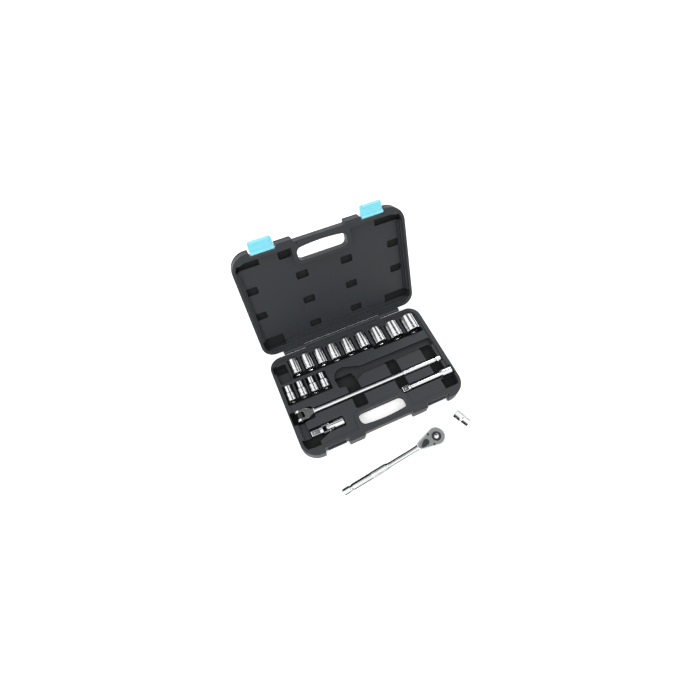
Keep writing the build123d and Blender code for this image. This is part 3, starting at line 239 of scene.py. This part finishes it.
def moulded_plastic(name, colour, gloss, grain, pocket_shade_mask=None):
    """Blow-moulded or injection-moulded plastic: spark-eroded grain, flow marks, scuffs, worn edges
    lightened with a painted highlight, and painted shade in the pockets when a mask is given.
    """
    f = Finish(name)
    rounded = f.rounded_normal(1.1 * MM)
    # edge band: wear on the rounded edges, which also carries a painted highlight in the tone below
    edge_band = f.edges(rounded).above(0.05, 0.04)
    flow = f.noise(9.0, 3.0, 0.6, f.moved(scale=(0.4, 1.0, 1.0)))
    mottle = f.noise(140.0, 4.0, 0.65)
    scuff_place = f.moved(scale=(12.0, 1.0, 3.0), turn=(0.3, 0.2, 0.7))
    scuffs = f.noise(55.0, 5.0, 0.7, scuff_place).above(0.66, 0.04) * f.noise(18.0).above(0.56, 0.08)
    grains = f.cells(grain, "SMOOTH_F1")
    fine = f.noise(grain * 1.6, 3.0, 0.6)
    tone = f.mixed((flow - 0.35) * 1.6, shade(colour, 0.86), shade(colour, 1.14))
    tone = f.mixed(mottle.above(0.5, 0.2) * 0.35, tone, shade(colour, 1.22))
    tone = f.mixed(scuffs * 0.35, tone, shade(colour, 2.1))
    # painted highlight: the edges are lightened to 2.8 times the colour, standing in for light caught by
    # the rounded rims, besides wear
    tone = f.mixed(edge_band * 0.7, tone, shade(colour, 2.8))
    # painted shade: the pockets' floors are darkened almost to black, standing in for the shade that falls
    # in them
    pocket_shade = pocket_shade_mask(f) if pocket_shade_mask else 0.0
    tone = f.mixed(pocket_shade * 0.9, tone, shade(colour, 0.12))
    rough = pocket_shade * 0.35 + gloss + mottle * 0.10 + flow * 0.06 - edge_band * 0.10 + scuffs * 0.08
    height = grains * 0.55 + fine * 0.45
    normal = f.bump(height, 0.32, 0.00012, rounded)
    return f.set(Base_Color=tone, Roughness=rough, Normal=normal, IOR=1.49)


def plated_steel(name, colour, gloss, waviness=0.25):
    """Polished chrome plate over a forging: buffing marks, fingerprints, and soft edges lightened by wear
    and a painted highlight.
    """
    f = Finish(name)
    rounded = f.rounded_normal(0.35 * MM)
    edge_band = f.edges(rounded).above(0.06, 0.05)
    film = f.noise(38.0, 4.0, 0.6).above(0.52, 0.16)
    prints = f.noise(420.0, 3.0, 0.7) * film
    buffing = f.noise(90.0, 2.0, 0.5, f.moved(scale=(1.0, 14.0, 14.0), turn=(0.0, 0.0, 0.12)))
    pits = f.cells(900.0).above(0.08, 0.04)
    tone = f.mixed(film * 0.5 + (1.0 - pits) * 0.3, colour, shade(colour, 0.80))
    # painted highlight: the edges are lightened a little, standing in for light caught on them, besides
    # wear
    tone = f.mixed(edge_band * 0.5, tone, shade(colour, 1.12))
    rough = gloss + prints * 0.09 + buffing * 0.035 + edge_band * 0.05
    height = f.noise(160.0, 2.0, 0.5) * 0.7 + buffing * 0.3
    normal = f.bump(height, waviness, 0.00006, rounded)
    return f.set(Base_Color=tone, Metallic=1.0, Roughness=rough, Normal=normal)


def dark_steel(name, colour, gloss):
    """Black-oxide steel: oily sheen, rubbed bright where it wears."""
    f = Finish(name)
    rounded = f.rounded_normal(0.4 * MM)
    edge_band = f.edges(rounded).above(0.05, 0.04)
    rubbed = edge_band * f.noise(260.0, 3.0, 0.6).above(0.42, 0.12)
    oil = f.noise(70.0, 4.0, 0.6)
    tone = f.mixed(oil, shade(colour, 0.75), shade(colour, 1.35))
    tone = f.mixed(rubbed * 0.8, tone, (0.42, 0.42, 0.43, 1.0))
    rough = gloss + oil * 0.16 - rubbed * 0.12
    normal = f.bump(f.noise(600.0, 3.0, 0.6), 0.12, 0.00004, rounded)
    return f.set(Base_Color=tone, Metallic=0.9, Roughness=rough, Normal=normal)


def brushed_plate(name, colour):
    """Ground steel plate with a straight grain."""
    f = Finish(name)
    rounded = f.rounded_normal(0.25 * MM)
    grain = f.noise(70.0, 3.0, 0.6, f.moved(scale=(1.0, 40.0, 40.0), turn=(0.0, 0.0, -0.1)))
    film = f.noise(60.0, 3.0, 0.6)
    tone = f.mixed(grain * 0.6 + film * 0.3, shade(colour, 0.82), shade(colour, 1.08))
    normal = f.bump(grain, 0.18, 0.00004, rounded)
    return f.set(Base_Color=tone, Metallic=1.0, Roughness=0.24 + grain * 0.16 + film * 0.05, Normal=normal)


# ---- sizes and colours -----------------------------------------------------------------------
class CaseLooks(bpy.types.PropertyGroup):
    plastic: bpy.props.FloatVectorProperty(
        name="Case plastic", description="Colour of the moulded case", subtype="COLOR", size=4,
        default=(0.0195, 0.0228, 0.0268, 1.0), min=0, max=1,
    )
    latch: bpy.props.FloatVectorProperty(
        name="Latches", description="Colour of the latches", subtype="COLOR", size=4,
        default=(0.24, 0.74, 0.88, 1.0), min=0, max=1,
    )


class ToolLooks(bpy.types.PropertyGroup):
    chrome: bpy.props.FloatVectorProperty(
        name="Chrome", description="Colour of the chrome plate", subtype="COLOR", size=4,
        default=(0.80, 0.81, 0.82, 1.0), min=0, max=1,
    )
    black: bpy.props.FloatVectorProperty(
        name="Black oxide", description="Colour of the blackened steel", subtype="COLOR", size=4,
        default=(0.045, 0.046, 0.05, 1.0), min=0, max=1,
    )
    knurl_pitch: bpy.props.FloatProperty(
        name="Knurl pitch", description="Distance between knurl points", subtype="DISTANCE", unit="LENGTH",
        default=1.25 * MM, min=0.5 * MM, max=3 * MM,
    )
    knurl_height: bpy.props.FloatProperty(
        name="Knurl height", description="Height of the knurl points", subtype="DISTANCE", unit="LENGTH",
        default=0.4 * MM, min=0.05 * MM, max=1 * MM,
    )


class StudioLooks(bpy.types.PropertyGroup):
    table: bpy.props.FloatVectorProperty(
        name="Table", description="Colour of the table top", subtype="COLOR", size=4,
        default=(0.95, 0.95, 0.95, 1.0), min=0, max=1,
    )
    lens: bpy.props.FloatProperty(
        name="Lens", description="Focal length of the camera in millimetres",
        default=20.49, min=10, max=200,
    )


# ---- modelling helpers -------------------------------------------------------------------------
def start_piece():
    bpy.ops.object.select_all(action="DESELECT")


def settle(piece, name, placing, body, material, smooth=35):
    """Name a finished piece, put its place in its mesh, and let it ride on its body."""
    piece.name = name
    piece.data.name = name
    piece.matrix_world = placing
    bpy.ops.object.select_all(action="DESELECT")
    bpy.context.view_layer.objects.active = piece
    piece.select_set(True)
    bpy.ops.object.transform_apply(location=True, rotation=True, scale=True)
    bpy.ops.object.shade_smooth_by_angle(angle=radians(smooth))
    piece.data.materials.clear()
    piece.data.materials.append(material)
    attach(piece, body)
    return piece


def pick(piece, test):
    """Select the vertices that pass a test, in edit mode, by their place."""
    bpy.ops.mesh.select_all(action="DESELECT")
    bpy.ops.object.mode_set(mode="OBJECT")
    for vertex in piece.data.vertices:
        vertex.select = test(vertex.co)
    bpy.ops.object.mode_set(mode="EDIT")


def knurled_sleeve(radius, length, pitch, height):
    """Cylinder along Z with diamond points: alternate points of a fine grid pulled outwards."""
    around = 2 * max(8, round(pi * radius / pitch))
    rows = 2 * max(4, round(length / pitch))
    start_piece()
    bpy.ops.mesh.primitive_cylinder_add(vertices=around, radius=radius, depth=length, end_fill_type="NGON")
    piece = bpy.context.object
    bpy.ops.object.mode_set(mode="EDIT")
    bpy.ops.mesh.select_mode(type="EDGE")
    bpy.ops.mesh.select_all(action="DESELECT")
    bpy.ops.object.mode_set(mode="OBJECT")
    for edge in piece.data.edges:
        ends = [piece.data.vertices[i].co for i in edge.vertices]
        edge.select = abs(ends[0].z - ends[1].z) > length / 2
    bpy.ops.object.mode_set(mode="EDIT")
    bpy.ops.mesh.subdivide(number_cuts=rows - 1)
    bpy.ops.mesh.select_mode(type="VERT")
    spacing = length / rows

    def raised(point):
        row = round((point.z + length / 2) / spacing)
        column = round(atan2(point.y, point.x) / (2 * pi) * around)
        return 0 < row < rows and (row + column) % 2 == 0

    pick(piece, raised)
    bpy.ops.transform.shrink_fatten(value=height)
    pick(piece, lambda point: abs(point.z) < length)
    bpy.ops.mesh.select_mode(type="FACE")
    bpy.ops.mesh.poke()
    bpy.ops.object.mode_set(mode="OBJECT")
    return piece


def axis_frame(origin, x_axis, z_axis):
    """Matrix of a frame from its origin, X and Z."""
    x = Vector(x_axis).normalized()
    z = Vector(z_axis).normalized()
    y = z.cross(x)
    turn = Matrix((x, y, z)).transposed().to_4x4()
    return Matrix.Translation(Vector(origin)) @ turn


RATCHET = axis_frame(
    JOINTS["ratchet_drive_turn"]["pos_m"],
    JOINTS["ratchet_ball_slide"]["axis"],
    JOINTS["ratchet_drive_turn"]["axis"],
)
ALONG_X = Matrix.Rotation(pi / 2, 4, "Y")


def paint(material, *names):
    for name in names:
        node = NODES[name]
        if not node.material_slots:
            node.data.materials.append(material)
        for slot in node.material_slots:
            slot.material = material


# ---- operators ---------------------------------------------------------------------------------
class SET_OT_case(bpy.types.Operator):
    """Finish the case, its latches and its pins"""

    bl_idname = "socket_set.case"
    bl_label = "Case"

    def execute(self, context):
        looks = context.scene.set_case
        tray = moulded_plastic("tray_plastic", looks.plastic, 0.42, 1500.0, painted_shade_in_tray)
        lid = moulded_plastic("lid_plastic", looks.plastic, 0.42, 1500.0, painted_shade_in_lid)
        latch = moulded_plastic("latch_plastic", looks.latch, 0.26, 2600.0)
        pin = brushed_plate("pin_steel", (0.55, 0.57, 0.60, 1.0))
        paint(tray, "base_shell")
        paint(lid, "lid_shell")
        paint(latch, "latch_left", "latch_right")
        paint(pin, "hinge_pin", "latch_pin_left", "latch_pin_right")
        return {"FINISHED"}


class SET_OT_sockets(bpy.types.Operator):
    """Finish the sockets"""

    bl_idname = "socket_set.sockets"
    bl_label = "Sockets"

    def execute(self, context):
        chrome = plated_steel("socket_chrome", context.scene.set_tools.chrome, 0.07)
        paint(chrome, *[name for name in NODES if name.startswith("socket_")])
        return {"FINISHED"}


class SET_OT_handles(bpy.types.Operator):
    """Finish the ratchet, flex handle, extension and universal joint, and knurl the grips"""

    bl_idname = "socket_set.handles"
    bl_label = "Handles"

    def execute(self, context):
        looks = context.scene.set_tools
        chrome = plated_steel("handle_chrome", looks.chrome, 0.09)
        black = dark_steel("black_oxide", looks.black, 0.26)
        plate = brushed_plate("cover_plate", (0.30, 0.31, 0.31, 1.0))
        steel = brushed_plate("plain_steel", (0.60, 0.61, 0.62, 1.0))
        # every small part is plain steel; the bigger ones are repainted
        tools = ("ratchet", "flex", "extension", "ujoint")
        paint(steel, *[name for name in NODES if name.startswith(tools)])
        paint(chrome, "ratchet_body", "ratchet_button", "flex_handle_bar", "extension_bar")
        paint(chrome, "ujoint_socket_yoke", "ujoint_drive_yoke")
        paint(plate, "ratchet_cover")
        paint(black, "ratchet_drive", "ratchet_lever", "ratchet_cover_screws", "flex_handle_head")
        paint(black, "flex_handle_pin", "ujoint_centre_block")
        knurl = plated_steel("knurl_chrome", looks.chrome, 0.16)
        low, high = GRIP
        sleeve = knurled_sleeve(GRIP_RADIUS, high - low, looks.knurl_pitch, looks.knurl_height)
        placing = RATCHET @ Matrix.Translation(((low + high) / 2, 0, 0)) @ ALONG_X
        settle(sleeve, "ratchet_knurl", placing, "ratchet", knurl, smooth=12)
        return {"FINISHED"}


class SET_OT_stage(bpy.types.Operator):
    """Table, soft studio light and camera"""

    bl_idname = "socket_set.stage"
    bl_label = "Studio"

    def light_sky(self, scene):
        """Bright dome with a dark skirt and a dark panel, which draw stripes on the chrome."""
        world = bpy.data.worlds.new("studio")
        world.use_nodes = True
        tree = world.node_tree
        way = tree.nodes.new("ShaderNodeTexCoord").outputs["Generated"]
        split = tree.nodes.new("ShaderNodeSeparateXYZ")
        tree.links.new(way, split.inputs[0])
        toward = tree.nodes.new("ShaderNodeVectorMath")
        toward.operation = "DOT_PRODUCT"
        tree.links.new(way, toward.inputs[0])
        toward.inputs[1].default_value = PANEL_WAY

        def faded(value, edge, before, after):
            """Level that passes smoothly from one side of an edge to the other."""
            fade = tree.nodes.new("ShaderNodeMapRange")
            fade.interpolation_type = "SMOOTHSTEP"
            tree.links.new(value, fade.inputs["Value"])
            for key, number in zip(("From Min", "From Max", "To Min", "To Max"), (*edge, before, after)):
                fade.inputs[key].default_value = number
            return fade

        skirt = faded(split.outputs["Z"], SKIRT, SKIRT_LEVEL, 1.0)
        panel = faded(toward.outputs["Value"], PANEL_EDGE, 1.0, PANEL_LEVEL)
        both = tree.nodes.new("ShaderNodeMath")
        both.operation = "MULTIPLY"
        tree.links.new(skirt.outputs[0], both.inputs[0])
        tree.links.new(panel.outputs[0], both.inputs[1])
        strength = tree.nodes.new("ShaderNodeMath")
        strength.operation = "MULTIPLY"
        tree.links.new(both.outputs[0], strength.inputs[0])
        strength.inputs[1].default_value = SKY_STRENGTH
        tree.nodes["Background"].inputs["Color"].default_value = (1.0, 1.0, 1.0, 1.0)
        tree.links.new(strength.outputs[0], tree.nodes["Background"].inputs["Strength"])
        scene.world = world

    def stand_cards(self):
        """Black cards round the loose tools. Only polished surfaces see them."""
        black = Finish("black_card")
        felt = black.mixed(black.noise(60.0), (0.004, 0.004, 0.004, 1.0), (0.010, 0.010, 0.010, 1.0))
        card_black = black.set(Base_Color=felt, Roughness=0.95)
        for name, place, width, height, turn, lean in CARDS:
            start_piece()
            turned = (radians(lean), 0, radians(turn))
            bpy.ops.mesh.primitive_plane_add(size=1.0, location=place, rotation=turned)
            card = bpy.context.object
            card.name = name
            card.scale = (width, height, 1.0)
            card.data.materials.append(card_black)
            card.visible_camera = False
            card.visible_diffuse = False
            card.visible_shadow = False

    def execute(self, context):
        looks = context.scene.set_studio
        start_piece()
        bpy.ops.mesh.primitive_plane_add(size=TABLE_SIZE, location=(0, 0, TABLE_Z))
        table = context.object
        table.name = "table"
        top = Finish("table_top")
        tint = top.mixed(top.noise(30.0, 3.0, 0.5) * 0.4, looks.table, shade(looks.table, 0.985))
        glow = {"Emission_Color": tint, "Emission_Strength": 0.45}
        table.data.materials.append(top.set(Base_Color=tint, Roughness=0.6, **glow))

        self.light_sky(context.scene)
        self.stand_cards()
        for name, place, size, power in LAMPS:
            lamp = bpy.data.lights.new(name, "AREA")
            lamp.energy = power
            lamp.size = size
            lamp_object = bpy.data.objects.new(name, lamp)
            lamp_object.location = place
            lamp_object.rotation_euler = (-Vector(place)).to_track_quat("-Z", "Y").to_euler()
            context.collection.objects.link(lamp_object)

        camera = bpy.data.cameras.new("camera")
        camera.lens = looks.lens
        camera.sensor_width = 36.0
        camera.clip_start = 0.05
        camera.clip_end = 50.0
        camera_object = bpy.data.objects.new("camera", camera)
        azimuth, elevation = radians(CAMERA_AZIMUTH), radians(CAMERA_ELEVATION)
        back = Vector((sin(azimuth) * cos(elevation), -cos(azimuth) * cos(elevation), sin(elevation)))
        right = Vector((cos(azimuth), sin(azimuth), 0))
        up = back.cross(right)
        turn = Matrix((right, up, back)).transposed().to_4x4()
        camera_object.matrix_world = Matrix.Translation(CAMERA_AT) @ turn
        context.collection.objects.link(camera_object)
        context.scene.camera = camera_object
        context.scene.view_settings.view_transform = "Standard"
        return {"FINISHED"}


class SET_PT_panel(bpy.types.Panel):
    """Sidebar panel that lists the set's groups"""

    bl_idname = "SET_PT_panel"
    bl_label = "Socket Set"
    bl_space_type = "VIEW_3D"
    bl_region_type = "UI"
    bl_category = "Socket Set"

    def draw(self, context):
        layout = self.layout
        for group in ("set_case", "set_tools", "set_studio"):
            settings = getattr(context.scene, group)
            box = layout.box()
            for name in settings.__annotations__:
                box.prop(settings, name)
        for operator in OPERATORS:
            layout.operator(operator.bl_idname)


SETTINGS = {"set_case": CaseLooks, "set_tools": ToolLooks, "set_studio": StudioLooks}
OPERATORS = (SET_OT_case, SET_OT_sockets, SET_OT_handles, SET_OT_stage)


def register():
    for name, group in SETTINGS.items():
        bpy.utils.register_class(group)
        setattr(bpy.types.Scene, name, bpy.props.PointerProperty(type=group))
    for operator in OPERATORS:
        bpy.utils.register_class(operator)
    bpy.utils.register_class(SET_PT_panel)


def unregister():
    bpy.utils.unregister_class(SET_PT_panel)
    for operator in reversed(OPERATORS):
        bpy.utils.unregister_class(operator)
    for name, group in SETTINGS.items():
        delattr(bpy.types.Scene, name)
        bpy.utils.unregister_class(group)


def main():
    register()
    bpy.ops.socket_set.case()
    bpy.ops.socket_set.sockets()
    bpy.ops.socket_set.handles()
    bpy.ops.socket_set.stage()


if __name__ == "__main__":
    main()
